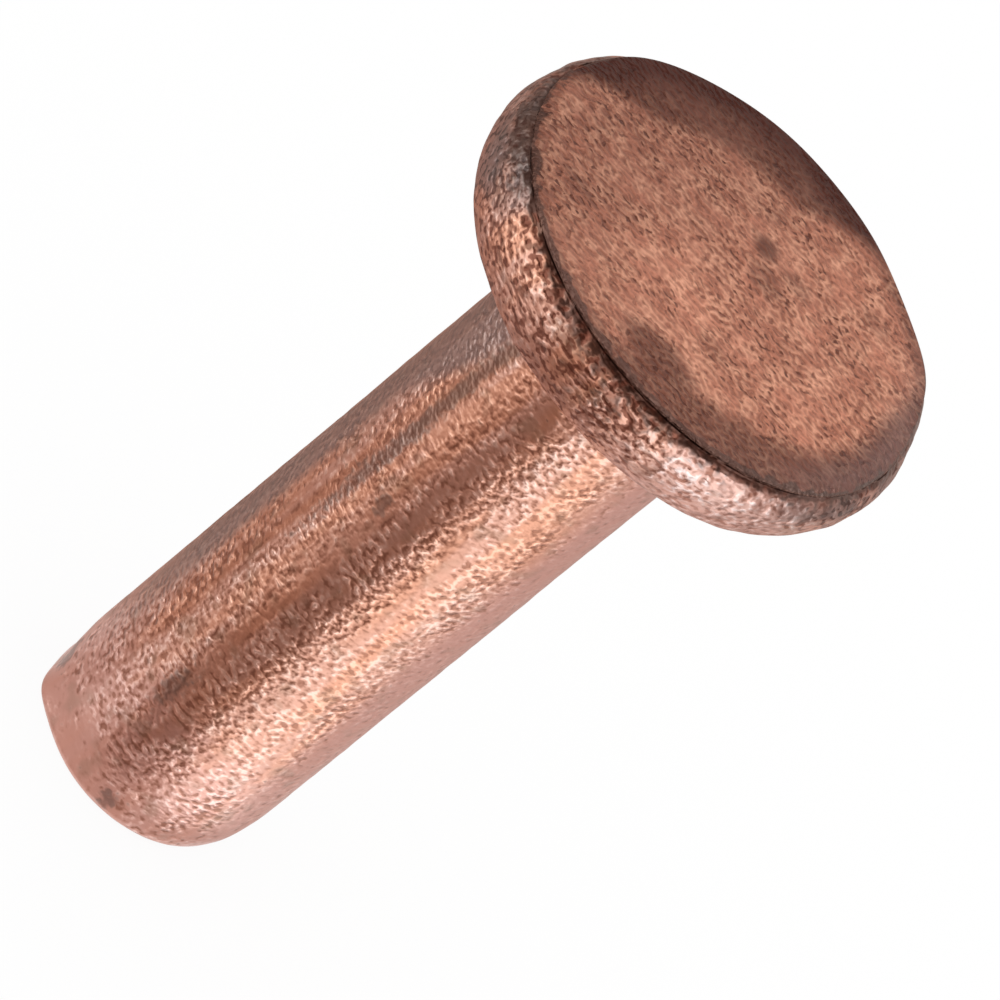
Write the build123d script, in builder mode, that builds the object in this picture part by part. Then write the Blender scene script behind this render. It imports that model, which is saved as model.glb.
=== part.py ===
from build123d import *
import os

# Flat head solid rivet, cold headed from soft copper wire: one solid of
# revolution about Z, in millimetres. It stands on its cropped end with the
# head up, and the origin is the centre of that end.

# Shank
shank_diameter = 7.9
shank_length = 25.0  # from the cropped end to the underside of the head
neck_radius = 0.3  # fillet where the shank runs into the head

# Cropped end: a small rounded edge, then a long roll-over up the wall
end_roll_height = 2.4
end_roll_depth = 0.22
end_edge_radius = 0.35

# Head: its free rim bulges as the blow spreads it, fullest above mid height
head_diameter = 16.0
head_thickness = 2.8
belly_height = 1.75  # fullest part of the rim, above the underside
rim_round_reach = 0.75  # how far the rim's round reaches in under the head

# Struck face: a flat plateau left by the punch, with a crease at its foot
face_diameter = 15.1
face_step_height = 0.18
face_step_flare = 0.05
face_edge_radius = 0.1

# Places worked out from the sizes above
shank_radius = shank_diameter / 2
head_radius = head_diameter / 2
face_radius = face_diameter / 2
end_radius = shank_radius - end_roll_depth
underside_radius = head_radius - rim_round_reach
crease_radius = face_radius + face_step_flare
belly_z = shank_length + belly_height
face_z = shank_length + head_thickness
crease_z = face_z - face_step_height

os.makedirs("parts", exist_ok=True)

with BuildPart() as rivet:
    with BuildSketch(Plane.XZ) as half_section:
        with BuildLine():
            # Cropped end and the roll-over that leads up into the shank's wall
            Line((0, 0), (end_radius, 0))
            TangentArc((shank_radius, end_roll_height), (end_radius, 0), tangent=(0, -1))
            Line((shank_radius, end_roll_height), (shank_radius, shank_length))
            # Underside of the head, the two rounds of its rim and the crease
            Line((shank_radius, shank_length), (underside_radius, shank_length))
            EllipticalCenterArc(
                (underside_radius, belly_z), rim_round_reach, belly_height, start_angle=270, arc_size=90
            )
            TangentArc((head_radius, belly_z), (crease_radius, crease_z), tangent=(0, 1))
            # Step up to the face, and back down the axis
            Line((crease_radius, crease_z), (face_radius, face_z))
            Line((face_radius, face_z), (0, face_z))
            Line((0, face_z), (0, 0))
        make_face()
        # Rounded corners of the section: cropped end, neck and face
        for corner, radius in (
            ((end_radius, 0), end_edge_radius),
            ((shank_radius, shank_length), neck_radius),
            ((face_radius, face_z), face_edge_radius),
        ):
            fillet(half_section.vertices().sort_by_distance(corner)[0], radius)
    revolve(axis=Axis.Z)

rivet.part.label = "rivet"
export_step(rivet.part, "parts/rivet.step")
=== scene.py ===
import math

import bpy
import numpy as np
from mathutils import Matrix, Vector

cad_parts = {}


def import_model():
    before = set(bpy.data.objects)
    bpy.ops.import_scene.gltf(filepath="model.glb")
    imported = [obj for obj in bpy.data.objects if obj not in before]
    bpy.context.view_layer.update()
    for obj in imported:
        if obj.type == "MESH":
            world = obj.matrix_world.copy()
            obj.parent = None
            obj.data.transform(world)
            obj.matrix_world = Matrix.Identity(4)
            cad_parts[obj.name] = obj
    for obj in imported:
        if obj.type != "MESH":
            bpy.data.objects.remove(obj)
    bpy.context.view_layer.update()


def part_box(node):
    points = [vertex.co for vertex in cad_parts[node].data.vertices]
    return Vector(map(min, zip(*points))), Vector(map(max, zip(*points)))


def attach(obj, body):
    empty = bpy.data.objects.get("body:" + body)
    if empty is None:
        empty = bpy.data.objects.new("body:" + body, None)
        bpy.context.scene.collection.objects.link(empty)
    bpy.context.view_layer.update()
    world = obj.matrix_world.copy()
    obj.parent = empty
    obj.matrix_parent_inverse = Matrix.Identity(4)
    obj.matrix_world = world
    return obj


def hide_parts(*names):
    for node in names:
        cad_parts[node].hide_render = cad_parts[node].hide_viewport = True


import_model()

# The rivet's skin is worked out in millimetres and becomes metres when its
# mesh is made. "Turn" is the angle round the rivet in degrees: 0 is the front
# (-Y) and 90 is the right (+X). Front, left and right are those of the rivet
# as it stands upright, seen from the camera's side.
MM = 0.001
box_low, box_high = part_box("rivet")

# Section of the rivet as it was headed
FACE_Z = box_high[2] / MM
HEAD_RADIUS = (box_high[0] - box_low[0]) / 2 / MM
HEAD_THICKNESS = 2.8
BELLY_HEIGHT = 1.75
RIM_ROUND_REACH = 0.75
FACE_RADIUS = 7.55
FACE_STEP_HEIGHT = 0.18
FACE_STEP_FLARE = 0.05
FACE_EDGE_RADIUS = 0.1
SHANK_RADIUS = 3.95
NECK_RADIUS = 0.3
END_ROLL_HEIGHT = 2.4
END_ROLL_DEPTH = 0.22
END_EDGE_RADIUS = 0.35
UNDERSIDE_Z = FACE_Z - HEAD_THICKNESS
BELLY_Z = UNDERSIDE_Z + BELLY_HEIGHT
CREASE_Z = FACE_Z - FACE_STEP_HEIGHT
CREASE_RADIUS = FACE_RADIUS + FACE_STEP_FLARE
UNDERSIDE_RADIUS = HEAD_RADIUS - RIM_ROUND_REACH

# Mesh density: the two discs have this many squares a side, and their outer
# rings carry on into the head's rim and into the shank. The columns halve at
# the neck ring, under the head
FACE_SQUARES = 128
END_SQUARES = 64
FACE_DISC_RADIUS = 7.3
END_DISC_RADIUS = 2.9
NECK_RING_RADIUS = 4.6

# Out of round, as a soft head spreads under the blow: slow lobes round the
# rim as (lobes, turn of a crest, height), and single bulges and flats as
# (turn, width, height). The face and the underside have also shifted to the
# side, in millimetres, and the head leans, in degrees
HEAD_LOBES = ((3, 24.5, 0.10), (4, 61.0, 0.07))
HEAD_BULGES = ((-104, 8, -0.10), (127, 7, 0.14), (150, 10, -0.22), (197, 13, 0.20))
FACE_SHIFT = 0.19
UNDERSIDE_SHIFT = -0.03
HEAD_LEAN = -0.35

# Towards both sides the face's step has worn over into the shoulder: the
# turns of the two worn stretches, their width, the radius where the wear
# starts and how far it drops the edge
WORN_TURNS = (-82, 80)
WORN_WIDTH = 20
WORN_EDGE_START = 7.0
WORN_EDGE_DROP = 0.32

# The cropping blade rolls one side of the end over and leaves a corner on
# the other. The tuck draws in the last stretch of the wall, more on the
# rolled side than it spreads the corner
END_ROLL_TURN = 137
END_ROLL_UNEVEN = 0.54
END_TUCK_HEIGHT = 0.9
END_TUCK_ROLLED = 0.62
END_TUCK_CORNER = 0.30
END_LIFT = 0.0285
END_BULGE_HEIGHT = 1.6
END_BULGES = ((-82, 10, -0.09), (-58, 8, 0.21), (-27, 8, -0.05))

# Relief, as noise with its height and its cell round the rivet and along the
# section, or across the face, all in millimetres
RIM_LUMPS = ((0.050, 1.6, 1.0), (0.030, 0.85, 0.50), (0.012, 0.50, 0.33))
SHANK_FURROWS = ((0.020, 1.8, 5.0), (0.012, 0.55, 9.0), (0.010, 0.45, 0.5))
FACE_WAVES = ((0.030, 3.2), (0.012, 1.1))
END_LUMPS = (0.012, 1.1, 0.9)
GROOVE_DEPTH = 0.03

# Brown blotches on the face: place across and along, half width, half depth
# and strength
FACE_BLOTCHES = (
    (0.5, -5.9, 1.9, 1.1, 0.70),
    (0.1, 2.4, 0.6, 0.6, 0.75),
    (0.9, 1.2, 0.9, 0.8, 0.45),
    (-5.0, -3.3, 1.2, 0.5, 0.55),
    (-4.0, 1.5, 1.3, 0.8, 0.30),
    (-0.4, 4.0, 0.4, 0.9, 0.40),
    (3.9, 4.3, 0.7, 0.5, 0.35),
    (1.5, 2.3, 0.8, 0.5, 0.40),
    (-1.6, 3.6, 1.6, 1.0, 0.32),
    (1.4, -3.3, 0.9, 0.5, 0.35),
)

# Dark spots on the shank: turn, height, width in degrees, half height and
# strength
SHANK_SPOTS = (
    (-13, 5.2, 5, 1.0, 0.85),
    (-16, 15.5, 4, 0.45, 0.85),
    (8, 0.66, 6, 0.30, 0.90),
    (-72, 1.0, 8, 0.45, 1.0),
    (-36, 15.4, 5, 0.9, 0.70),
    (14, 23.2, 5, 0.6, 0.45),
)

# Every draw comes from this one source, in a fixed order, so that each run
# gives the same rivet
random = np.random.default_rng(1905)

# Noise round the rivet and over its face is a flat cut through the lattice at
# this height, in cells
NOISE_LEVEL = 0.37


# ------------------------------------------------------------- small maths

def between(low, high, value):
    """0 below low, 1 above high, and a smooth ease between them."""
    share = np.clip((value - low) / (high - low), 0, 1)
    return share * share * (3 - 2 * share)


def hump(centre, width, value):
    """Bell curve of height 1: e to the power of minus half the squared distance
    from the centre, counted in widths."""
    return np.exp(-0.5 * ((value - centre) / width) ** 2)


def turn_hump(centre, width, turn):
    """Bell curve round the rivet, in degrees, wherever the turn starts."""
    return hump(0, width, (turn - centre + 180) % 360 - 180)


def lattice_noise(place, around=None):
    """Smooth noise of about -1 to 1 at places counted in cells. Each corner of a
    cubic lattice holds a random slope, and a place takes the slopes of its eight
    corners, eased between them. Around is the number of cells after which the
    first axis meets itself again."""
    corner = np.floor(place).astype(int)
    offset = place - corner
    corner[:, 1:] -= corner[:, 1:].min(axis=0)
    if around is None:
        corner[:, 0] -= corner[:, 0].min()
        around = corner[:, 0].max() + 2
    slopes = random.normal(size=(around, *(corner[:, 1:].max(axis=0) + 2), 3))
    ease = offset**3 * (offset * (offset * 6 - 15) + 10)
    total = np.zeros(len(place))
    for step in np.ndindex(2, 2, 2):
        step = np.array(step)
        at = corner + step
        slope = slopes[at[:, 0] % around, at[:, 1], at[:, 2]]
        weight = np.where(step, ease, 1 - ease).prod(axis=1)
        total += weight * ((offset - step) * slope).sum(axis=1)
    return total


# ---------------------------------------------------------------- section

def straight(start, end, rows):
    """Evenly spaced points (radius, height) on a straight stretch, without the first."""
    share = np.linspace(0, 1, rows + 1)[1:, None]
    return np.array(start) * (1 - share) + np.array(end) * share


def rounded(centre, reach, first_angle, last_angle, rows):
    """Points centre + reach * (cos, sin) on a round stretch, without the first."""
    angle = np.radians(np.linspace(first_angle, last_angle, rows + 1)[1:])
    return np.array(centre) + np.array(reach) * np.stack([np.cos(angle), np.sin(angle)], axis=1)


def head_section():
    """From the flat of the face outwards over its step, crease, shoulder and
    belly, and in along the underside."""
    wall_slope = math.atan2(FACE_STEP_FLARE, FACE_STEP_HEIGHT)
    edge_in = FACE_RADIUS - FACE_EDGE_RADIUS * math.tan(math.pi / 4 - wall_slope / 2)
    edge_centre = (edge_in, FACE_Z - FACE_EDGE_RADIUS)
    edge = rounded(edge_centre, (FACE_EDGE_RADIUS, FACE_EDGE_RADIUS), 90, math.degrees(wall_slope), 3)
    rise = CREASE_Z - BELLY_Z
    spread = HEAD_RADIUS - CREASE_RADIUS
    shoulder = (rise**2 + spread**2) / (2 * spread)
    shoulder_angle = math.degrees(math.asin(rise / shoulder))
    return np.concatenate([
        straight((FACE_DISC_RADIUS, FACE_Z), (edge_in, FACE_Z), 2),
        edge,
        straight(edge[-1], (CREASE_RADIUS, CREASE_Z), 2),
        rounded((HEAD_RADIUS - shoulder, BELLY_Z), (shoulder, shoulder), shoulder_angle, 0, 11),
        rounded((UNDERSIDE_RADIUS, BELLY_Z), (RIM_ROUND_REACH, BELLY_HEIGHT), 0, -90, 17),
        straight((UNDERSIDE_RADIUS, UNDERSIDE_Z), (NECK_RING_RADIUS, UNDERSIDE_Z), 11),
    ])


def shank_section():
    """From the ring under the head in to the neck's fillet, down the shank, over
    the roll of the cropped end and in to the end's disc."""
    roll = (END_ROLL_HEIGHT**2 + END_ROLL_DEPTH**2) / (2 * END_ROLL_DEPTH)
    roll_x = SHANK_RADIUS - roll
    drop = END_ROLL_HEIGHT - END_EDGE_RADIUS
    edge_x = roll_x + math.sqrt((roll - END_EDGE_RADIUS) ** 2 - drop**2)
    touch = -math.degrees(math.asin(drop / (roll - END_EDGE_RADIUS)))
    neck = (SHANK_RADIUS + NECK_RADIUS, UNDERSIDE_Z - NECK_RADIUS)
    return np.concatenate([
        straight((NECK_RING_RADIUS, UNDERSIDE_Z), (neck[0], UNDERSIDE_Z), 2),
        rounded(neck, (NECK_RADIUS, NECK_RADIUS), 90, 180, 5),
        straight((SHANK_RADIUS, neck[1]), (SHANK_RADIUS, END_ROLL_HEIGHT), 156),
        rounded((roll_x, END_ROLL_HEIGHT), (roll, roll), 0, touch, 15),
        rounded((edge_x, END_EDGE_RADIUS), (END_EDGE_RADIUS, END_EDGE_RADIUS), touch, -90, 6),
        straight((edge_x, 0), (END_DISC_RADIUS, 0), 3),
    ])


def section_facing(section):
    """Outward normals (radial, axial) of a section that runs down from the face:
    the direction it runs in, turned a quarter outwards."""
    step = np.gradient(section, axis=0)
    facing = np.stack([-step[:, 1], step[:, 0]], axis=1)
    return facing / np.linalg.norm(facing, axis=1, keepdims=True)


# ---------------------------------------------------------------- mesh

def disc_grid(squares, radius):
    """A square grid bent into a disc: each square ring of the grid becomes a
    circle of evenly spaced points. Returns the points (n, 2), the quads, and the
    outer ring's indices in order of angle from +X."""
    side = np.linspace(-1, 1, squares + 1)
    across, along = np.meshgrid(side, side, indexing="ij")
    ring = np.maximum(np.abs(across), np.abs(along))
    safe = np.where(ring > 0, ring, 1)
    angle = np.where(
        np.abs(across) >= np.abs(along),
        np.where(across >= 0, 0, np.pi) + np.pi / 4 * along / safe * np.sign(across),
        np.where(along >= 0, np.pi / 2, -np.pi / 2) - np.pi / 4 * across / safe * np.sign(along),
    )
    points = np.stack([radius * ring * np.cos(angle), radius * ring * np.sin(angle)], axis=-1)
    index = np.arange((squares + 1) ** 2).reshape(squares + 1, squares + 1)
    quads = np.stack([index[:-1, :-1], index[1:, :-1], index[1:, 1:], index[:-1, 1:]], axis=-1)
    outer = np.flatnonzero(np.isclose(ring.ravel(), 1))
    order = np.round(np.degrees(angle.ravel()[outer]) % 360, 6) % 360
    return points.reshape(-1, 2), quads.reshape(-1, 4), outer[np.argsort(order)]


def swept_rings(section, columns):
    """The section turned round Z: points and outward normals, both (rows, columns, 3)."""
    angle = np.linspace(0, 2 * np.pi, columns, endpoint=False)
    facing = section_facing(section)
    round_about = np.stack([np.cos(angle), np.sin(angle), np.ones(columns)], axis=1)
    points = section[:, None, [0, 0, 1]] * round_about
    normals = facing[:, None, [0, 0, 1]] * round_about
    return points, normals


def ring_quads(upper, lower):
    """Quads between two rings of as many points, facing outwards where upper lies nearer the face."""
    return np.stack([upper, lower, np.roll(lower, -1), np.roll(upper, -1)], axis=1)


def ring_halving(fine, coarse):
    """Triangles between a ring and the next one, which has half as many points."""
    first, middle, last = fine[0::2], fine[1::2], np.roll(fine, -2)[0::2]
    following = np.roll(coarse, -1)
    return np.concatenate([
        np.stack([first, coarse, middle], axis=1),
        np.stack([middle, coarse, following], axis=1),
        np.stack([middle, following, last], axis=1),
    ])


def plain_skin():
    """The undented rivet as one closed skin: points, outward normals, quads and
    triangles. It is a disc for the face, the head's section turned round Z, the
    shank's section turned with half as many columns, and a disc for the end."""
    face, face_quads, face_ring = disc_grid(FACE_SQUARES, FACE_DISC_RADIUS)
    end, end_quads, end_ring = disc_grid(END_SQUARES, END_DISC_RADIUS)
    head, head_normals = swept_rings(head_section(), 4 * FACE_SQUARES)
    shank, shank_normals = swept_rings(shank_section(), 4 * END_SQUARES)
    inner = np.setdiff1d(np.arange(len(end)), end_ring)

    head_index = len(face) + np.arange(head[..., 0].size).reshape(head.shape[:2])
    shank_index = head_index[-1, -1] + 1 + np.arange(shank[..., 0].size).reshape(shank.shape[:2])
    end_index = np.empty(len(end), dtype=int)
    end_index[end_ring] = shank_index[-1]
    end_index[inner] = shank_index[-1, -1] + 1 + np.arange(len(inner))

    points = np.concatenate([
        np.column_stack([face, np.full(len(face), FACE_Z)]),
        head.reshape(-1, 3),
        shank.reshape(-1, 3),
        np.column_stack([end[inner], np.zeros(len(inner))]),
    ])
    normals = np.concatenate([
        np.tile([0.0, 0.0, 1.0], (len(face), 1)),
        head_normals.reshape(-1, 3),
        shank_normals.reshape(-1, 3),
        np.tile([0.0, 0.0, -1.0], (len(inner), 1)),
    ])
    head_chain = [face_ring, *head_index]
    quads = np.concatenate([
        face_quads,
        *(ring_quads(upper, lower) for upper, lower in zip(head_chain, head_chain[1:])),
        *(ring_quads(upper, lower) for upper, lower in zip(shank_index, shank_index[1:])),
        end_index[end_quads][:, ::-1],
    ])
    return points, normals, quads, ring_halving(head_index[-1], shank_index[0])


# ---------------------------------------------------------------- relief

class Places:
    """Where each point of the plain skin lies: its radius, height and turn, the
    ray out to it, and masks of 0 to 1. Most masks are regions of the rivet.
    Crisp, worn and cut say how the step and its crease change with the turn:
    where both are sharp, where the step has worn over, and how far round the
    crease is dark."""

    def __init__(self, points):
        self.points = points
        self.radius = np.hypot(points[:, 0], points[:, 1])
        self.height = points[:, 2]
        self.turn = np.degrees(np.arctan2(points[:, 0], -points[:, 1]))
        self.ray = points[:, :2] / np.maximum(self.radius, 1e-9)[:, None]
        upper = self.height > UNDERSIDE_Z - 0.01
        self.head = upper * between(4.2, 7.0, self.radius)
        self.face = (self.height > FACE_Z - 1e-6) * 1.0
        self.below_head = self.height < UNDERSIDE_Z
        self.rim = upper * between(6.3, 7.45, self.radius) * (self.height < CREASE_Z + 0.001)
        self.underside = upper * (self.height < UNDERSIDE_Z + 0.6) * 1.0
        self.shank = (self.height < UNDERSIDE_Z - 0.05) * between(0, 1.2, self.height)
        self.roll = 1 - between(0.6, END_ROLL_HEIGHT + 1, self.height)
        self.face_side = between(CREASE_Z, FACE_Z - 0.02, self.height)
        reach = np.hypot(self.radius - CREASE_RADIUS - 0.03, self.height - CREASE_Z)
        self.crease = (self.radius > 7.5) * (self.height < FACE_Z - 0.05)
        self.crease = self.crease * (1 - between(0.05, 0.34, reach))
        self.edge = hump(FACE_RADIUS - 0.03, 0.09, self.radius) * (self.height > FACE_Z - 0.12)
        self.crisp = between(-60, -28, self.turn) * (1 - between(38, 70, self.turn))
        self.worn = sum(turn_hump(centre, WORN_WIDTH, self.turn) for centre in WORN_TURNS)
        self.cut = between(-88, -58, self.turn) * (1 - between(38, 70, self.turn))
        self.groove = (self.radius > 7.55) * (self.height < FACE_Z - 0.1) * hump(0, 0.10, reach)

    def round_noise(self, radius, around, along):
        """Noise round the rivet in cells that are around x along millimetres at a
        radius, closed where the turn meets itself."""
        count = int(round(2 * math.pi * radius / around))
        depth = (self.height - self.radius * (self.height > UNDERSIDE_Z - 0.01)) / along
        level = np.full(len(depth), NOISE_LEVEL)
        return lattice_noise(np.stack([self.turn / 360 * count, depth, level], axis=1), count)

    def flat_noise(self, cell):
        """Noise over the face in square cells of cell millimetres."""
        level = np.full(len(self.points), NOISE_LEVEL)
        return lattice_noise(np.column_stack([self.points[:, :2] / cell, level]))


def out_of_round(places):
    """The plain skin's points, moved to where one soft rivet has them."""
    turn = places.turn
    radius = places.radius
    height = places.height
    moved = places.points.copy()

    # the head spreads along the ray by its lobes and bulges, in step with the
    # radius, then shifts and leans sideways
    spread = sum(size * np.cos(np.radians(lobes * (turn - crest))) for lobes, crest, size in HEAD_LOBES)
    spread += sum(size * turn_hump(centre, width, turn) for centre, width, size in HEAD_BULGES)
    moved[:, :2] += places.ray * (places.head * spread * radius / HEAD_RADIUS)[:, None]
    low = np.clip((BELLY_Z - height) / BELLY_HEIGHT, 0, 1)
    settled = (height > UNDERSIDE_Z - 0.01) * np.maximum(places.head, between(UNDERSIDE_Z, FACE_Z, height))
    moved[:, 0] += settled * (FACE_SHIFT * (1 - low) + UNDERSIDE_SHIFT * low)
    moved[:, 2] += places.head * places.points[:, 0] * math.radians(HEAD_LEAN)

    # the worn stretches of the step come down to a parabola in the radius
    over = np.clip((radius - WORN_EDGE_START) / (CREASE_RADIUS + 0.1 - WORN_EDGE_START), 0, 1)
    over *= height > CREASE_Z - 0.25
    rounded_over = FACE_Z - WORN_EDGE_DROP * over**2
    moved[:, 2] += places.worn * np.minimum(rounded_over - height, 0) * (over > 0)

    # the cropped end is drawn in along the ray with the cosine of the turn from
    # its rolled side, and lifts a little towards the right
    near_end = np.clip(1 - height / END_ROLL_HEIGHT, 0, 1)
    side = np.cos(np.radians(turn - END_ROLL_TURN))
    tuck = END_ROLL_DEPTH * END_ROLL_UNEVEN * side * near_end**2
    drawn_in = np.where(side > 0, END_TUCK_ROLLED, END_TUCK_CORNER)
    tuck += np.clip(1 - height / END_TUCK_HEIGHT, 0, 1) ** 2.5 * drawn_in * side
    bulge = sum(size * turn_hump(centre, width, turn) for centre, width, size in END_BULGES)
    tuck -= bulge * np.clip(1 - height / END_BULGE_HEIGHT, 0, 1)
    moved[:, :2] -= places.ray * (tuck * (radius / SHANK_RADIUS) ** 3)[:, None]
    moved[:, 2] += near_end**2 * END_LIFT * np.maximum(places.points[:, 0], 0)
    return moved


def relief(places):
    """Height in millimetres that hammering, drawing and handling leave on each
    point: noises of several sizes, each within its region, less the groove."""
    hammered = sum(size * places.round_noise(HEAD_RADIUS, *cell) for size, *cell in RIM_LUMPS)
    height = places.rim * hammered * (1 - 0.5 * places.underside)
    height -= GROOVE_DEPTH * places.groove * places.crisp
    height += places.shank * sum(
        size * places.round_noise(SHANK_RADIUS, *cell) for size, *cell in SHANK_FURROWS)
    height += places.face * sum(size * places.flat_noise(cell) for size, cell in FACE_WAVES)
    size, *cell = END_LUMPS
    height += places.roll * size * places.round_noise(SHANK_RADIUS, *cell)
    return height


# ---------------------------------------------------------------- marks

def tarnish(places):
    """How brown each point of the face has gone, 0 to 1."""
    x = places.points[:, 0]
    y = places.points[:, 1]
    wander = 0.5 * places.flat_noise(1.6) + 0.25 * places.flat_noise(0.6)
    amount = np.zeros(len(x))
    for across, along, width, depth, strength in FACE_BLOTCHES:
        spread = np.hypot((x - across) / width, (y - along) / depth) + 0.35 * wander
        amount = np.maximum(amount, strength * (1 - between(0.4, 1.3, spread)))
    reach = places.radius + 0.4 * wander

    # a crescent at the back left, and a band along the edge that is broad at
    # the front right and narrow elsewhere
    aside = np.abs((places.turn + 146 + 180) % 360 - 180)
    back = 5.0 + 2.4 * between(27, 60, aside) + 0.3 * wander
    crescent = between(back - 0.8, back + 0.7, reach)
    crescent *= 0.80 + 0.17 * between(5.8, 7.3, places.radius)
    inner = 5.5 + 0.75 * between(20, 85, places.turn) + 1.2 * between(100, 130, places.turn)
    inner += 1.7 * (1 - between(-12, 12, places.turn))
    band = between(inner - 0.4, inner + 0.6, reach)
    band *= 0.64 + 0.10 * turn_hump(80, 25, places.turn) + 0.12 * wander
    amount = np.maximum(amount, np.maximum(band, crescent))
    amount = np.maximum(amount, 0.5 * between(6.8, 7.3, reach))

    # a thin tone over all, darker towards the left, and less of it in two places
    amount = np.maximum(amount, 0.10 + 0.28 * between(3, -6, x - 0.2 * y) + 0.12 * wander)
    amount -= 0.16 * hump(-0.8, 1.5, x) * hump(-2.6, 1.5, y)
    amount -= 0.12 * hump(4.6, 1.1, x) * hump(-1.6, 1.6, y)
    return np.clip(amount, 0, 1) * places.face_side


def film(places):
    """Grey-brown film, 0 to 1: along one side of the shank, in patches on the
    rim, and at the face's right edge."""
    patches = np.clip(0.75 + 0.8 * places.round_noise(HEAD_RADIUS, 1.7, 1.1), 0, 1)
    front = -62 + 20 * between(17, 22, places.height)
    shank = between(-95, -68, places.turn) * (1 - between(front, front + 12, places.turn))
    shank *= (places.height < UNDERSIDE_Z - 0.1) * between(1.5, 8.0, places.height)
    front = -62 + 14 * between(25.6, 26.6, places.height)
    left = between(-125, -85, places.turn) * (1 - between(front, front + 9, places.turn))
    left *= between(24.95, 25.5, places.height)
    right = between(44, 62, places.turn) * (1 - between(110, 140, places.turn))
    right *= between(26.6, 27.1, places.height)
    edge = places.face_side * turn_hump(88, 28, places.turn) * between(6.0, 7.4, places.radius)
    return np.clip(0.8 * shank + places.rim * patches * (left + 0.9 * right) + edge, 0, 1)


def crease_shade(places, lumps):
    """Painted shade: a dark line at the foot of the face's step, broken up at its left end."""
    broken = (0.1 + 1.3 * lumps) * between(-115, -88, places.turn) * (places.turn < 0)
    line = np.maximum(places.crisp, places.cut * (0.74 + 0.6 * lumps))
    return places.crease * np.clip(line + broken, 0, 1)


def shade_and_dark_edge(places, lumps):
    """Painted shade on the rim's shoulder and on the front of its belly, with dark flakes at its left, and
    darkening along the edge of the face.
    """
    height = places.height
    # painted shade on the shoulder and the front of the belly, with dark flakes at the left
    flakes = turn_hump(-68, 14, places.turn) * between(26.85, 27.15, height + 0.35 * lumps)
    front = 0.35 * turn_hump(6, 16, places.turn) * between(26.0, 26.9, height + 0.3 * lumps)
    lift = 0.24 * (1 - turn_hump(2, 14, places.turn))
    shoulder = 0.8 * between(26.95, 27.40, height - lift + 0.15 * lumps)
    shoulder = np.maximum(shoulder, np.maximum(flakes, front))
    shoulder *= (places.radius > 7.55) * places.rim
    # darkening along the edge of the face, in specks
    specks = places.radius + 0.20 * places.flat_noise(0.45) + 0.05 * places.flat_noise(0.25)
    dark_edge = (height > CREASE_Z - 0.05) * between(7.30, 7.62, specks)
    dark_edge *= 0.42 + 0.30 * turn_hump(-70, 28, places.turn) + 0.3 * turn_hump(55, 30, places.turn)

    # more of it on the step's wall, and on the edge above the crisp crease: painted shade that carries on
    # from the crease
    dark_edge += 0.40 * between(7.47, 7.55, places.radius) * (height > CREASE_Z - 0.02)
    near = between(-88, -58, places.turn) * (1 - between(60, 95, places.turn))
    dark_edge += 0.80 * near * between(7.33, 7.53, specks) * (height > CREASE_Z - 0.02)
    return np.maximum(shoulder, dark_edge)


def smears(places, lumps):
    """A dark streak up the shank, and its dark spots."""
    amount = 0.95 * turn_hump(-33 + 2 * lumps, 4, places.turn) * between(8, 17, places.height)
    amount *= places.below_head
    for turn, height, width, half_height, strength in SHANK_SPOTS:
        spot = turn_hump(turn, width, places.turn) * hump(height, half_height, places.height + 0.2 * lumps)
        amount = np.maximum(amount, strength * (1 - places.head) * spot)
    return amount


def calm(places, lumps):
    """Where handling has rubbed the shank's grain down: at the cropped end, down
    the right side, and in worn strips down the front."""
    turn = places.turn
    height = places.height
    bare = height + 1.5 * lumps + 1.4 * turn_hump(28, 20, turn)
    end = 0.86 * (1 - between(0.8, 3.4, bare))
    side = 0.74 * between(42, 62, turn) * (1 - between(85, 120, turn))
    side = np.maximum(side, 0.35 * turn_hump(24, 13, turn))
    side = np.maximum(side, 0.36 * turn_hump(-6, 13, turn))
    patches = between(-0.18, 0.36, places.round_noise(SHANK_RADIUS, 1.2, 1.7))
    side = np.maximum(side, 0.9 * turn_hump(0, 4, turn + 3 * lumps) * patches)
    stretch = between(15.5, 18.5, height) * (1 - between(22, 24, height))
    side = np.maximum(side, 0.55 * turn_hump(-26, 5, turn + 3 * lumps) * stretch)
    return np.maximum(end, (1 - places.head) * side)


def pink_and_reflection(places, lumps):
    """Where the bare copper is pinker: at the foot, and down the right side as a painted reflection."""
    foot = 0.62 * (1 - between(2.5, 6.5, places.height + 1.2 * lumps))
    side = 0.7 * between(44, 62, places.turn) * (1 - between(92, 130, places.turn))
    return (1 - places.head) * np.maximum(foot, side)


def mesh_object(name, points, quads, triangles, marks):
    """A smooth-shaded mesh object from points in millimetres, with one number
    per point for each of its marks."""
    mesh = bpy.data.meshes.new(name)
    corners = np.concatenate([quads.ravel(), triangles.ravel()])
    sizes = np.concatenate([np.full(len(quads), 4), np.full(len(triangles), 3)])
    mesh.vertices.add(len(points))
    mesh.vertices.foreach_set("co", (points * MM).astype(np.float32).ravel())
    mesh.loops.add(len(corners))
    mesh.loops.foreach_set("vertex_index", corners.astype(np.int32))
    mesh.polygons.add(len(sizes))
    mesh.polygons.foreach_set("loop_start", (np.cumsum(sizes) - sizes).astype(np.int32))
    mesh.polygons.foreach_set("use_smooth", np.ones(len(sizes), dtype=bool))
    mesh.update(calc_edges=True)
    for mark, values in marks.items():
        mesh.attributes.new(mark, "FLOAT", "POINT").data.foreach_set("value", values.astype(np.float32))
    piece = bpy.data.objects.new(name, mesh)
    bpy.context.scene.collection.objects.link(piece)
    return piece


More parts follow.
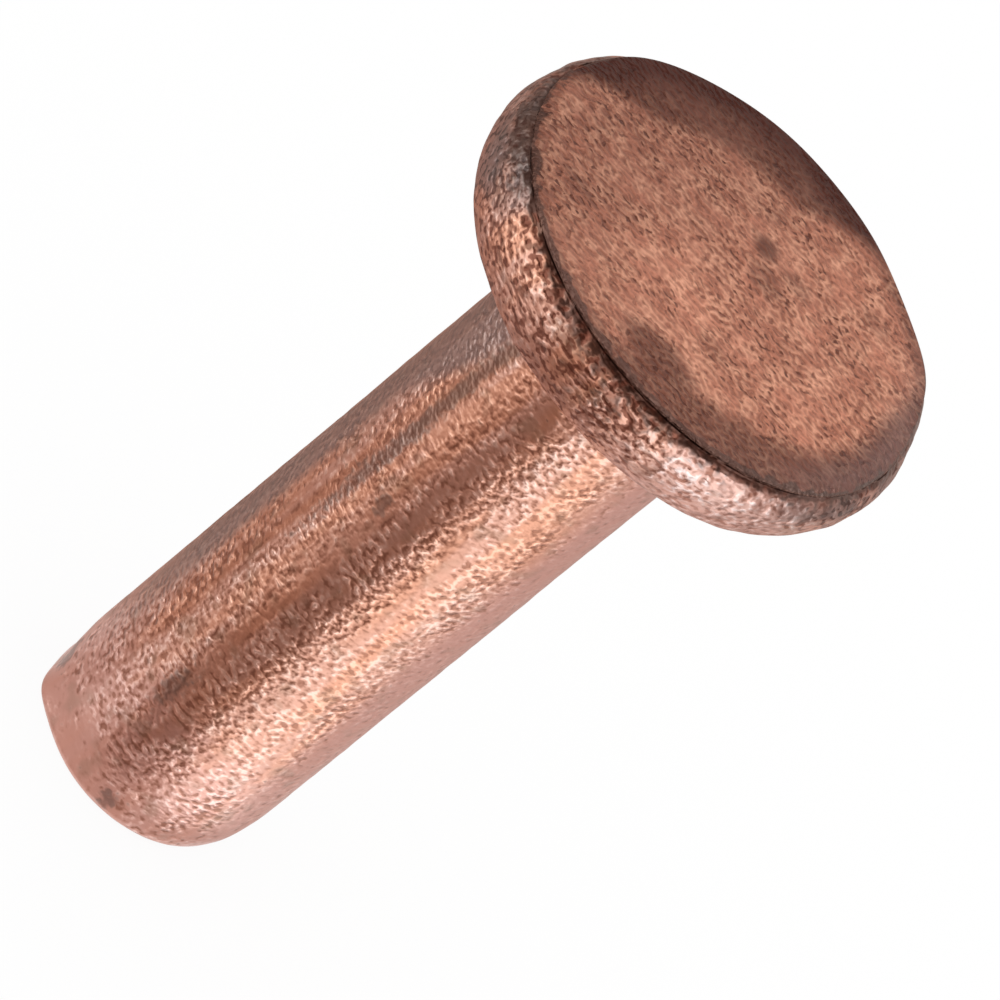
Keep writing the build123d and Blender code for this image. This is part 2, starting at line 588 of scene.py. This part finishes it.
def rivet_skin():
    """The rivet's whole surface, out of round and hammered, with the marks that
    its finish follows. Its cropped end stays on or above the ground."""
    points, normals, quads, triangles = plain_skin()
    places = Places(points)
    raised = out_of_round(places) + normals * relief(places)[:, None]
    raised[:, 2] = np.maximum(raised[:, 2], 0)
    lumps = places.round_noise(HEAD_RADIUS, 0.7, 0.3)
    off_head = 1 - places.head
    marks = {
        "face_mark": places.face_side,
        "rim_mark": places.rim,
        # painted shade in the crease under the face's step
        "crease_shade_mark": crease_shade(places, lumps),
        # worn lip with a painted highlight, on the face's crisp edge
        "lip_wear_and_highlight_mark": places.edge * places.crisp,
        # painted shade on the rim, and darkening along the face's edge
        "shade_and_dark_edge_mark": shade_and_dark_edge(places, lumps),
        "smear_mark": smears(places, lumps),
        "calm_mark": calm(places, lumps),
        # pinker at the foot, and a painted reflection down the right side
        "pink_and_reflection_mark": pink_and_reflection(places, lumps),
        "tarnish_mark": tarnish(places),
        "film_mark": film(places),
        # painted shade on the rim below its belly, where it is also rougher
        "underside_shade_mark": places.rim * (1 - between(25.5, 26.9, places.height + 0.15 * lumps)),
        # painted highlight: paler copper on the right of the rim
        "rim_highlight_mark": places.rim * between(12, 26, places.turn) * (1 - between(55, 75, places.turn)),
        "streak_mark": off_head * turn_hump(-38, 9, places.turn) * between(2, 5, places.height),
    }
    return mesh_object("rivet_skin", raised, quads, triangles, marks)


# ---------------------------------------------------------------- finish

# Bare copper: bright on the tops of its grain, and deeper between them
HIGH_COOL = (0.94, 0.615, 0.515)
HIGH_WARM = (0.96, 0.535, 0.385)
# painted highlight on the rim's right
RIM_HIGHLIGHT_PALE = (0.90, 0.71, 0.67)
# HIGH_PINK and DEEP_PINK: pinker at the foot, and a painted reflection down the right side
HIGH_PINK = (0.97, 0.65, 0.60)
DEEP_COPPER = (0.47, 0.17, 0.095)
DEEP_PINK = (0.48, 0.21, 0.165)

# What dulls the shank and the rim, and the painted shade under the rim
GRAIN_HOLLOW = (0.30, 0.12, 0.075)
LUMP_HOLLOW = (0.20, 0.075, 0.05)
OLIVE = (0.30, 0.20, 0.14)
GREY_FILM = (0.275, 0.218, 0.212)
RIM_UNDERSIDE_SHADE = (0.44, 0.20, 0.15)

# The struck face
FACE_DEEP = (0.695, 0.298, 0.196)
FACE_LIGHT = (0.925, 0.482, 0.325)
FACE_HOLLOW = (0.50, 0.21, 0.138)
FACE_PIT = (0.26, 0.098, 0.064)
FACE_TARNISH = (0.075, 0.018, 0.012)
FACE_FILM = (0.27, 0.205, 0.205)

# Dirt, darkening along the face's edge, painted shade and a painted highlight,
# and how they look where the film lies over them
SMEAR = (0.15, 0.095, 0.08)
SHADE_AND_DARK_EDGE = (0.11, 0.055, 0.043)
SHADE_AND_DARK_EDGE_FILMED = (0.18, 0.14, 0.125)
SPECK = (0.18, 0.06, 0.04)
SPECK_FILMED = (0.06, 0.04, 0.035)
# worn lip with a painted highlight
WORN_LIP_AND_HIGHLIGHT = (0.60, 0.36, 0.30)
# painted shade in the crease
CREASE_SHADE = (0.07, 0.03, 0.022)


class Finish:
    """Short ways to add nodes to a material."""

    def __init__(self, name):
        self.material = bpy.data.materials.new(name)
        self.material.use_nodes = True
        self.nodes = self.material.node_tree.nodes
        self.links = self.material.node_tree.links
        self.nodes.clear()
        self.output = self.nodes.new("ShaderNodeOutputMaterial")

    def add(self, kind, sockets=(), **settings):
        """A node with its settings, and each of its sockets given a number, a
        colour or another node's output."""
        node = self.nodes.new("ShaderNode" + kind)
        for name, value in settings.items():
            setattr(node, name, value)
        for name, value in dict(sockets).items():
            if isinstance(value, bpy.types.NodeSocket):
                self.links.new(value, node.inputs[name])
            else:
                node.inputs[name].default_value = value
        return node

    def sums(self, operation, first, second=0.0, third=0.0):
        """One step of arithmetic on numbers or outputs."""
        return self.add("Math", {0: first, 1: second, 2: third}, operation=operation).outputs[0]

    def product(self, *factors):
        """All of the factors, numbers or outputs, multiplied from left to right."""
        total = factors[0]
        for factor in factors[1:]:
            total = self.sums("MULTIPLY", total, factor)
        return total

    def stretched(self, place, scales):
        """The place with its three axes scaled."""
        return self.add("VectorMath", {0: place, 1: scales}, operation="MULTIPLY").outputs[0]

    def ramp(self, value, low, high, start=0.0, end=1.0):
        """Eased from start to end while value goes from low to high."""
        sockets = {"Value": value, "From Min": low, "From Max": high, "To Min": start, "To Max": end}
        return self.add("MapRange", sockets, interpolation_type="SMOOTHSTEP").outputs["Result"]

    def blend(self, share, first, second):
        """Mix node for colours: a share of second over first."""
        node = self.add("Mix", {0: share}, data_type="RGBA")
        for socket, value in ((node.inputs[6], first), (node.inputs[7], second)):
            if isinstance(value, bpy.types.NodeSocket):
                self.links.new(value, socket)
            else:
                socket.default_value = (*value, 1.0)
        return node.outputs[2]

    def noise(self, place, scale, detail, roughness=0.5):
        """Noise of about 0 to 1 with this many cells to the millimetre."""
        sockets = {"Vector": place, "Scale": scale, "Detail": detail, "Roughness": roughness}
        return self.add("TexNoise", sockets).outputs[0]

    def mark(self, name):
        """A number that each point of the mesh carries."""
        return self.add("Attribute", attribute_name=name).outputs["Fac"]

    def bump(self, height, distance, below=None):
        """The normal over a relief, on top of the relief below."""
        sockets = {"Height": height, "Distance": distance, "Strength": 1.0}
        if below is not None:
            sockets["Normal"] = below
        return self.add("Bump", sockets).outputs[0]

    def finish(self, surface):
        """The material, once this shader is its surface."""
        self.links.new(surface, self.output.inputs["Surface"])
        return self.material


def copper():
    """Worked copper: drawn on the shank, hammered on the rim, oxidised and pitted
    on the face. Lengths are millimetres."""
    f = Finish("copper")
    coords = f.add("TexCoord").outputs["Object"]
    place = f.add("VectorMath", {0: coords, "Scale": 1 / MM}, operation="SCALE").outputs[0]
    drawn = f.stretched(place, (1, 1, 0.10))
    face = f.mark("face_mark")
    rim = f.mark("rim_mark")
    film = f.mark("film_mark")
    underside_shade = f.mark("underside_shade_mark")
    rim_highlight = f.mark("rim_highlight_mark")
    pink_and_reflection = f.mark("pink_and_reflection_mark")
    brown = f.mark("tarnish_mark")

    # shank and rim: short grains that lie across the drawn length, calmer in
    # patches and where handling rubs, with fine lengthwise streaks on one side,
    # and soft lumps on the rim
    grit = f.noise(f.stretched(place, (0.74, 0.74, 1.0)), 5.9, 1.0, 0.30)
    gritty = f.sums("SUBTRACT", grit, 0.5)
    calm = f.product(
        f.ramp(f.noise(drawn, 1.1, 1.0), 0.50, 0.68, 1.0, 0.50),
        f.ramp(f.noise(place, 0.9, 1.0), 0.36, 0.62, 0.70, 1.15),
        f.ramp(f.mark("calm_mark"), 0.0, 1.0, 1.0, 0.22),
    )
    rough = f.product(gritty, f.ramp(rim, 0.2, 0.9, 1.75, 1.3), calm)
    streaks = f.sums("SUBTRACT", f.noise(f.stretched(place, (1, 1, 0.03)), 4.2, 1.0), 0.5)
    rough = f.sums("MULTIPLY_ADD", f.product(streaks, f.mark("streak_mark")), 0.6, rough)
    lumps = f.product(f.noise(f.stretched(place, (0.6, 0.6, 1.3)), 4.2, 0.4, 0.5), 0.72)
    lumps = f.sums("MULTIPLY_ADD", f.noise(place, 1.7, 0.0), 0.60, lumps)

    # face: separate small pits over a fine mottling, fewer where it is brown
    # and more to the left
    struck = f.add("Mapping", {
        "Vector": place,
        "Rotation": (0, 0, math.radians(-12)),
        "Scale": (0.85, 1.1, 1),
    }).outputs[0]
    busy = f.product(
        f.ramp(f.noise(place, 0.6, 2.0), 0.36, 0.64, 0.45, 1.15),
        f.ramp(brown, 0.30, 0.75, 1.0, 0.80),
        f.ramp(f.add("SeparateXYZ", {0: place}).outputs[0], -6.0, -1.5, 1.25, 1.0),
    )
    pits = f.product(f.ramp(f.noise(struck, 5.5, 0.0), 0.23, 0.42, 1.0, 0.0), busy)
    fine = f.product(f.sums("SUBTRACT", f.noise(struck, 5.4, 0.0), 0.5), busy)
    struck_depth = f.sums("MULTIPLY_ADD", pits, -1.3, f.product(fine, 4.6))
    depth = f.add("Mix", {0: face, 2: rough, 3: struck_depth}, data_type="FLOAT").outputs[0]
    worn = f.bump(f.product(lumps, rim), 0.14 * MM)
    worn = f.bump(depth, 0.054 * MM, worn)

    # bare metal: bright on the tops of its grain and brown in its hollows
    warm = f.ramp(f.noise(drawn, 1.3, 1.0), 0.38, 0.64)
    high = f.blend(warm, HIGH_COOL, HIGH_WARM)
    # painted highlight on the right of the rim
    high = f.blend(rim_highlight, high, RIM_HIGHLIGHT_PALE)
    # pinker at the foot, and a painted reflection down the right side
    high = f.blend(pink_and_reflection, high, HIGH_PINK)
    skin = f.blend(0.42, f.blend(pink_and_reflection, DEEP_COPPER, DEEP_PINK), high)
    skin = f.blend(f.ramp(rough, 0.02, 0.26), skin, high)
    skin = f.blend(f.ramp(rough, -0.24, -0.02, 0.75, 0.0), skin, GRAIN_HOLLOW)
    # fewer hollows under the painted shade and the painted highlight
    spared = f.ramp(f.sums("ADD", underside_shade, rim_highlight), 0.2, 1.4, 1.0, 0.3)
    hollows = f.product(f.ramp(lumps, 0.50, 0.62, 1.0, 0.0), rim, spared, 0.8)
    skin = f.blend(hollows, skin, LUMP_HOLLOW)
    olive = f.ramp(f.noise(place, 1.1, 1.0, 0.6), 0.54, 0.70)
    skin = f.blend(f.product(olive, 0.30), skin, OLIVE)
    skin = f.blend(f.product(film, 0.85), skin, GREY_FILM)
    # painted shade under the rim
    skin = f.blend(f.product(underside_shade, 0.55), skin, RIM_UNDERSIDE_SHADE)

    # face: mottled, pitted, oxidised and filmed over at one edge
    patches = f.noise(place, 1.3, 3.0, 0.6)
    mottled = f.blend(f.ramp(patches, 0.36, 0.64), FACE_DEEP, FACE_LIGHT)
    struck_skin = f.blend(f.ramp(fine, -0.18, 0.10), FACE_HOLLOW, mottled)
    struck_skin = f.blend(pits, struck_skin, FACE_PIT)
    struck_skin = f.blend(brown, struck_skin, FACE_TARNISH)
    struck_skin = f.blend(f.product(film, 0.40), struck_skin, FACE_FILM)
    skin = f.blend(face, skin, struck_skin)

    # dirt and painted light: smears on the shank, painted shade on the rim's
    # shoulder and darkening along the face's edge, specks on the rim, the worn lip
    # of the face with a painted highlight, and painted shade in the crease under it
    smear = f.ramp(f.sums("MULTIPLY_ADD", gritty, 1.2, f.mark("smear_mark")), 0.35, 0.85, 0.0, 0.65)
    skin = f.blend(smear, skin, SMEAR)
    # painted shade on the rim's shoulder, and darkening along the face's edge
    shade_and_dark_edge_share = f.ramp(f.sums("MULTIPLY_ADD", gritty, 1.8, f.mark("shade_and_dark_edge_mark")), 0.30, 0.95)
    skin = f.blend(f.product(shade_and_dark_edge_share, 0.82), skin, f.blend(film, SHADE_AND_DARK_EDGE, SHADE_AND_DARK_EDGE_FILMED))
    # fewer specks under the painted highlight
    specks = f.product(
        f.ramp(grit, 0.38, 0.47, 0.75, 0.0),
        rim,
        f.ramp(rim_highlight, 0.0, 1.0, 1.0, 0.45),
    )
    skin = f.blend(specks, skin, f.blend(film, SPECK, SPECK_FILMED))
    # worn lip of the face with a painted highlight
    skin = f.blend(f.product(f.mark("lip_wear_and_highlight_mark"), 0.08), skin, WORN_LIP_AND_HIGHLIGHT)
    # painted shade along the crease under the face's step
    crease_shaded = f.ramp(f.sums("MULTIPLY_ADD", gritty, 1.4, f.mark("crease_shade_mark")), 0.36, 0.95, 0.0, 0.78)
    skin = f.blend(crease_shaded, skin, CREASE_SHADE)
    shader = f.add("BsdfPrincipled", {
        "Base Color": skin,
        "Metallic": f.sums("MULTIPLY_ADD", face, -0.25, 1.0),
        "Roughness": f.sums("MULTIPLY_ADD", f.sums("ADD", face, underside_shade), 0.15, 0.33),
        "Normal": worn,
    })
    return f.finish(shader.outputs[0])


# ---------------------------------------------------------------- studio

# The camera looks down on the rivet's front from far off, rolled so that the
# head points to the upper right: its angles in degrees, and the point that it
# looks at, its distance and its lens in millimetres
CAMERA_ELEVATION = 34.72
CAMERA_ROLL = 39.39
CAMERA_AIM = (1.045, 0, 16.23)
CAMERA_DISTANCE = 360.8
CAMERA_LENS = 432
CAMERA_SENSOR = 36


def camera():
    """Its axes are the world's right and the tilted up, turned by the roll."""
    elevation = math.radians(CAMERA_ELEVATION)
    roll = math.radians(CAMERA_ROLL)
    right = Vector((1, 0, 0))
    up = Vector((0, math.sin(elevation), math.cos(elevation)))
    back = Vector((0, -math.cos(elevation), math.sin(elevation)))
    rolled_right = math.cos(roll) * up + math.sin(roll) * right
    rolled_up = math.sin(roll) * up - math.cos(roll) * right
    data = bpy.data.cameras.new("camera")
    data.lens = CAMERA_LENS
    data.sensor_width = CAMERA_SENSOR
    data.clip_start = 0.01
    data.clip_end = 10
    stand = bpy.data.objects.new("camera", data)
    turned = Matrix((rolled_right, rolled_up, back)).transposed().to_4x4()
    turned.translation = Vector(CAMERA_AIM) * MM + back * CAMERA_DISTANCE * MM
    stand.matrix_world = turned
    bpy.context.scene.collection.objects.link(stand)
    bpy.context.scene.camera = stand


# Brightness of the studio that the metal mirrors, as (turn, tone): the table
# round the rivet, the table close to its foot, the table's far part that the
# head's rim mirrors, the walls and the ceiling
TABLE_TONES = (
    (-180, 0.45), (-150, 0.36), (-122, 0.46), (-104, 0.70), (-88, 0.56), (-76, 0.40), (-64, 0.36),
    (-54, 0.82), (-42, 0.84), (-28, 0.38), (-8, 0.26), (8, 0.24), (14, 0.30), (26, 0.52), (31, 1.36),
    (60, 1.64), (80, 1.40), (96, 0.76), (120, 0.74), (180, 0.50),
)
FOOT_TONES = (
    (-180, 0.70), (-122, 0.50), (-104, 0.78), (-88, 0.78), (-64, 0.52), (-54, 0.95), (-42, 1.00),
    (-28, 0.80), (-12, 0.40), (0, 0.30), (8, 0.32), (20, 0.75), (30, 1.25), (36, 1.50), (60, 1.60),
    (80, 1.35), (94, 0.80), (120, 0.75), (180, 0.70),
)
FAR_TONES = (
    (-180, 0.50), (-120, 0.42), (-100, 0.62), (-82, 0.75), (-62, 1.25), (-46, 1.45), (-30, 0.80),
    (-10, 0.33), (20, 0.26), (32, 0.34), (40, 1.30), (52, 1.35), (66, 1.10), (92, 0.80), (130, 0.60),
    (180, 0.50),
)
WALL_TONES = (
    (-180, 0.65), (-150, 0.55), (-125, 0.35), (-106, 0.45), (-92, 1.30), (-54, 1.70), (-42, 1.30),
    (-28, 0.80), (20, 0.65), (32, 1.50), (50, 2.00), (76, 1.60), (88, 0.70), (130, 0.55), (180, 0.65),
)
CEILING_TONES = (
    (-180, 1.30), (-90, 0.35), (-50, 0.14), (50, 0.14), (90, 0.35), (180, 1.30),
)
FOOT_TONE = 0.70  # the table right under the edge of the cropped end
ZENITH_TONE = 0.55

# Colour of the light from the studio's dim parts and from its bright ones
DIM_LIGHT = (1.06, 0.75, 0.64)
BRIGHT_LIGHT = (1.0, 1.04, 1.05)

# Radii of the table's rings, and how far off the walls are, in millimetres
TABLE_RADII = (
    4.1, 5, 5.7, 6.4, 7, 7.5, 9, 10, 11, 12.5, 34, 39, 44, 48, 60, 72, 84, 96, 108, 120, 200, 800,
)
WALL_REACH = 800


def tones(table, turn):
    """The tone at each turn, on straight lines between the rows of a table."""
    turns, values = zip(*table)
    return np.interp((turn + 180) % 360 - 180, turns, values)


def tent():
    """A studio tent that only reflections see: a table round the foot of the
    rivet and a dome over it, with a tone at each point."""
    columns = 144
    turn = np.linspace(-180, 180, columns, endpoint=False)
    radii = np.array(TABLE_RADII)
    elevations = np.linspace(0, 90, 19)
    radius = np.concatenate([radii, WALL_REACH * np.cos(np.radians(elevations))])
    height = np.concatenate([np.zeros(len(radii)), WALL_REACH * np.sin(np.radians(elevations))])
    ray = np.stack([np.sin(np.radians(turn)), -np.cos(np.radians(turn))], axis=1)
    points = np.concatenate([
        radius[:, None, None] * ray[None],
        np.broadcast_to(height[:, None, None] + 0.02, (len(radius), columns, 1)),
    ], axis=2)

    # from one table of tones to the next with the distance from the rivet,
    # and from the walls to the ceiling and the zenith
    out = radii[:, None]
    table = np.broadcast_to(tones(TABLE_TONES, turn), (len(radii), columns))
    foot = FOOT_TONE + (tones(FOOT_TONES, turn) - FOOT_TONE) * between(4.8, 7.0, out)
    table = foot + (table - foot) * between(7.5, 12.5, out)
    table = table + (tones(FAR_TONES, turn) - table) * between(34, 48, out)
    table = table + (tones(WALL_TONES, turn) - table) * between(60, 120, out)
    up = elevations[:, None]
    wall = tones(WALL_TONES, turn)[None]
    ceiling = tones(CEILING_TONES, turn)[None]
    back = between(100, 150, np.abs(turn))
    dome = wall + (ceiling - wall) * between(36 - 12 * back, 50 - 4 * back, up)
    dome = dome + (ZENITH_TONE - dome) * between(65, 90, up)

    index = np.arange(len(radius) * columns).reshape(len(radius), columns)
    quads = np.concatenate([ring_quads(upper, lower) for upper, lower in zip(index, index[1:])])
    marks = {"tone": np.concatenate([table, dome]).ravel()}
    piece = mesh_object("tent", points.reshape(-1, 3), quads, np.empty((0, 3), dtype=int), marks)
    piece.visible_camera = False
    piece.visible_diffuse = False
    piece.visible_shadow = False
    piece.visible_transmission = False
    f = Finish("tent")
    tone = f.mark("tone")
    colour = f.blend(f.ramp(tone, 0.25, 1.20), DIM_LIGHT, BRIGHT_LIGHT)
    piece.data.materials.append(f.finish(f.add("Emission", {"Color": colour, "Strength": tone}).outputs[0]))


# The floor's half side in metres, and its drop below the cropped end in
# millimetres, so that the two never share a plane
FLOOR_HALF = 2.0
FLOOR_DROP = 0.02


def floor():
    """A floor that shows white, with the rivet's faint soft shadow on it."""
    half = FLOOR_HALF
    mesh = bpy.data.meshes.new("floor")
    low = -FLOOR_DROP * MM
    corners = [(-half, -half, low), (half, -half, low), (half, half, low), (-half, half, low)]
    mesh.from_pydata(corners, [], [(0, 1, 2, 3)])
    piece = bpy.data.objects.new("floor", mesh)
    bpy.context.scene.collection.objects.link(piece)
    f = Finish("floor")
    rays = f.add("LightPath")
    seen = f.sums("MAXIMUM", rays.outputs["Is Camera Ray"], rays.outputs["Is Glossy Ray"])
    seen = f.sums("MAXIMUM", seen, rays.outputs["Is Transmission Ray"])
    glow = f.add("Emission", {"Color": (1, 1, 1, 1), "Strength": f.product(seen, 0.92)})
    matt = f.add("BsdfDiffuse", {"Color": (0.08, 0.08, 0.08, 1)})
    both = f.add("AddShader", {0: glow.outputs[0], 1: matt.outputs[0]})
    mesh.materials.append(f.finish(both.outputs[0]))


def world():
    """Even white light from all sides."""
    sky = bpy.data.worlds.new("studio")
    bpy.context.scene.world = sky
    sky.use_nodes = True
    sky.node_tree.nodes["Background"].inputs["Color"].default_value = (1, 1, 1, 1)


# ---------------------------------------------------------------- the rivet

camera()
skin = rivet_skin()
skin.data.materials.append(copper())
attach(skin, "root")
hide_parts("rivet")
tent()
floor()
world()
bpy.context.scene.view_settings.view_transform = "Standard"
